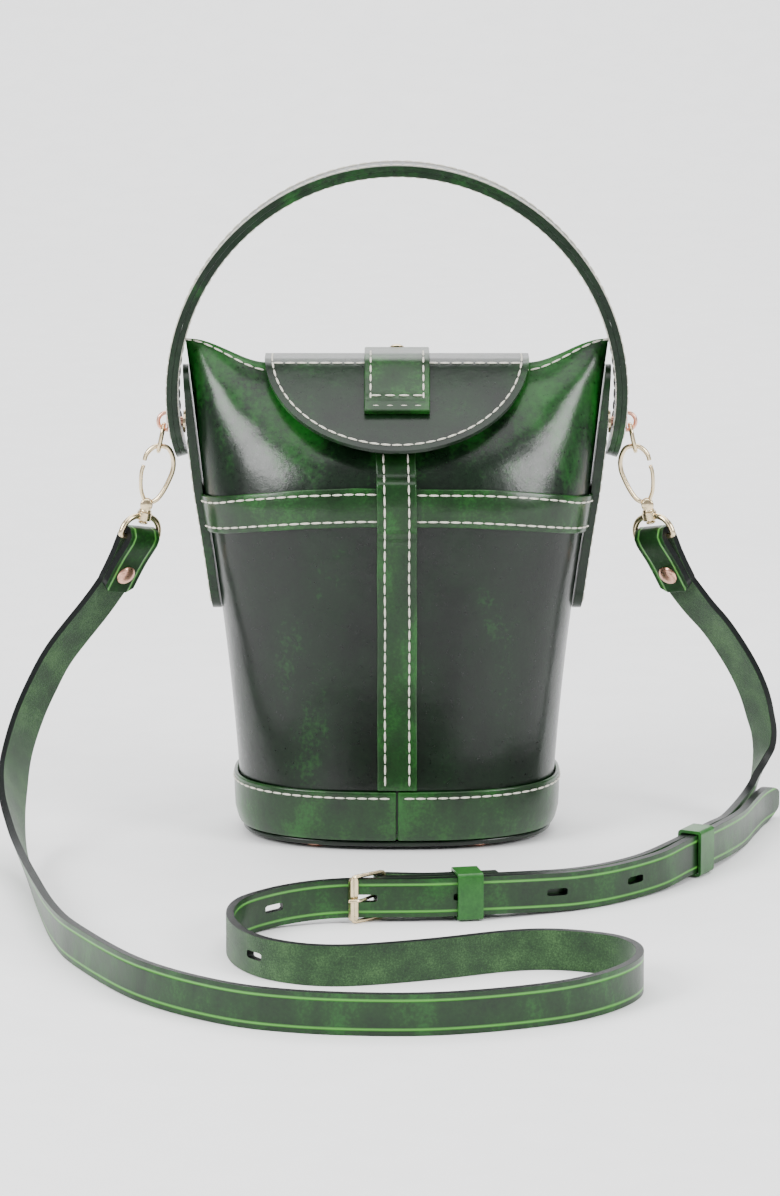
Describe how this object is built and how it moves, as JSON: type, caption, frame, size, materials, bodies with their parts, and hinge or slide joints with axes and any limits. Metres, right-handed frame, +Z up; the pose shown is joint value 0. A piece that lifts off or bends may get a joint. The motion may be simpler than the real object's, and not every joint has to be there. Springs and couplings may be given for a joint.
{
  "type": "bucket bag",
  "caption": "Moulded leather bucket bag with a folding flap, a swinging strap handle and a buckled clip-on shoulder strap lying on the floor.",
  "frame": {"origin": "on the floor under the middle of the bag's base", "axes": "+X to the bag's right as seen from the front, +Y to the back, +Z up"},
  "size_m": [0.3411, 0.392, 0.2919],
  "materials": {
    "bridle": "glossy",
    "strap_leather": "satin",
    "lining": "matte",
    "board": "matte",
    "gold": "polished",
    "copper": "polished",
    "steel": "brushed"
  },
  "bodies": {
    "bag": {"front_panel": "bridle", "back_panel": "bridle", "lining_front": "lining", "lining_back": "lining", "inner_pocket": "lining", "base_board": "board", "base_sole": "bridle", "base_band": "bridle", "foot_stud_1": "copper", "foot_stud_2": "copper", "foot_stud_3": "copper", "foot_stud_4": "copper", "cross_band_front": "bridle", "cross_band_back": "bridle", "center_strap_front": "bridle", "center_strap_back": "bridle", "side_strip_left": "bridle", "side_strip_right": "bridle", "tab_anchor": "bridle", "tab_rivet": "gold", "magnet_lower": "steel", "handle_washer_left": "gold", "handle_washer_right": "gold", "eye_stud_left": "copper", "eye_stud_right": "copper", "strap_long": "strap_leather", "strap_short": "strap_leather", "buckle_frame": "gold", "keeper_fixed": "strap_leather"},
    "flap": {"flap": "bridle", "flap_lining": "lining", "closure_tab": "bridle", "magnet_upper": "steel"},
    "handle": {"handle_outer": "bridle", "handle_inner": "bridle"},
    "clip_left": {"link_left": "gold", "swivel_ring_left": "gold", "strap_fold_left": "strap_leather", "strap_rivet_left": "copper"},
    "clip_right": {"link_right": "gold", "swivel_ring_right": "gold", "strap_fold_right": "strap_leather", "strap_rivet_right": "copper"},
    "hook_left": {"hook_frame_left": "gold", "gate_pin_left": "gold"},
    "hook_right": {"hook_frame_right": "gold", "gate_pin_right": "gold"},
    "gate_left": {"hook_gate_left": "gold"},
    "gate_right": {"hook_gate_right": "gold"},
    "prong": {"buckle_prong": "gold"},
    "keeper": {"keeper_sliding": "strap_leather"}
  },
  "joints": [
    {"name": "flap_hinge", "type": "hinge", "parent": "bag", "child": "flap", "pos_m": [0, 0.01, 0.2108], "axis": [-1, 0, 0], "range_deg": [0, 140]},
    {"name": "handle_swing", "type": "hinge", "parent": "bag", "child": "handle", "pos_m": [0, 0, 0.18], "axis": [1, 0, 0], "range_deg": [-75, 75]},
    {"name": "clip_swing_left", "type": "hinge", "parent": "bag", "child": "clip_left", "pos_m": [-0.1009, 0, 0.1786], "axis": [0, 1, 0], "range_deg": [-1.5, 25], "deforming": ["strap_long"]},
    {"name": "clip_swing_right", "type": "hinge", "parent": "bag", "child": "clip_right", "pos_m": [0.1009, 0, 0.1786], "axis": [0, -1, 0], "range_deg": [-1.5, 25], "deforming": ["strap_short"]},
    {"name": "hook_swivel_left", "type": "hinge", "parent": "clip_left", "child": "hook_left", "pos_m": [-0.1033, 0, 0.1691], "axis": [-0.2061, 0, -0.9785], "range_deg": [-20, 20]},
    {"name": "hook_swivel_right", "type": "hinge", "parent": "clip_right", "child": "hook_right", "pos_m": [0.1033, 0, 0.1691], "axis": [0.2061, 0, -0.9785], "range_deg": [-20, 20]},
    {"name": "gate_hinge_left", "type": "hinge", "parent": "hook_left", "child": "gate_left", "pos_m": [-0.1088, 0, 0.1434], "axis": [0, 1, 0], "range_deg": [0, 25], "stiffness_Nm_per_rad": 0.002, "springref_deg": -17.19},
    {"name": "gate_hinge_right", "type": "hinge", "parent": "hook_right", "child": "gate_right", "pos_m": [0.1088, 0, 0.1434], "axis": [0, -1, 0], "range_deg": [0, 25], "stiffness_Nm_per_rad": 0.002, "springref_deg": -17.19},
    {"name": "prong_hinge", "type": "hinge", "parent": "bag", "child": "prong", "pos_m": [-0.0055, -0.1616, 0.0102], "axis": [0, 0, 1], "range_deg": [0, 15]},
    {"name": "keeper_slide", "type": "slide", "parent": "bag", "child": "keeper", "axis": [0.484, 0.8751, 0], "range_m": [-0.004, 0.004]}
  ]
}
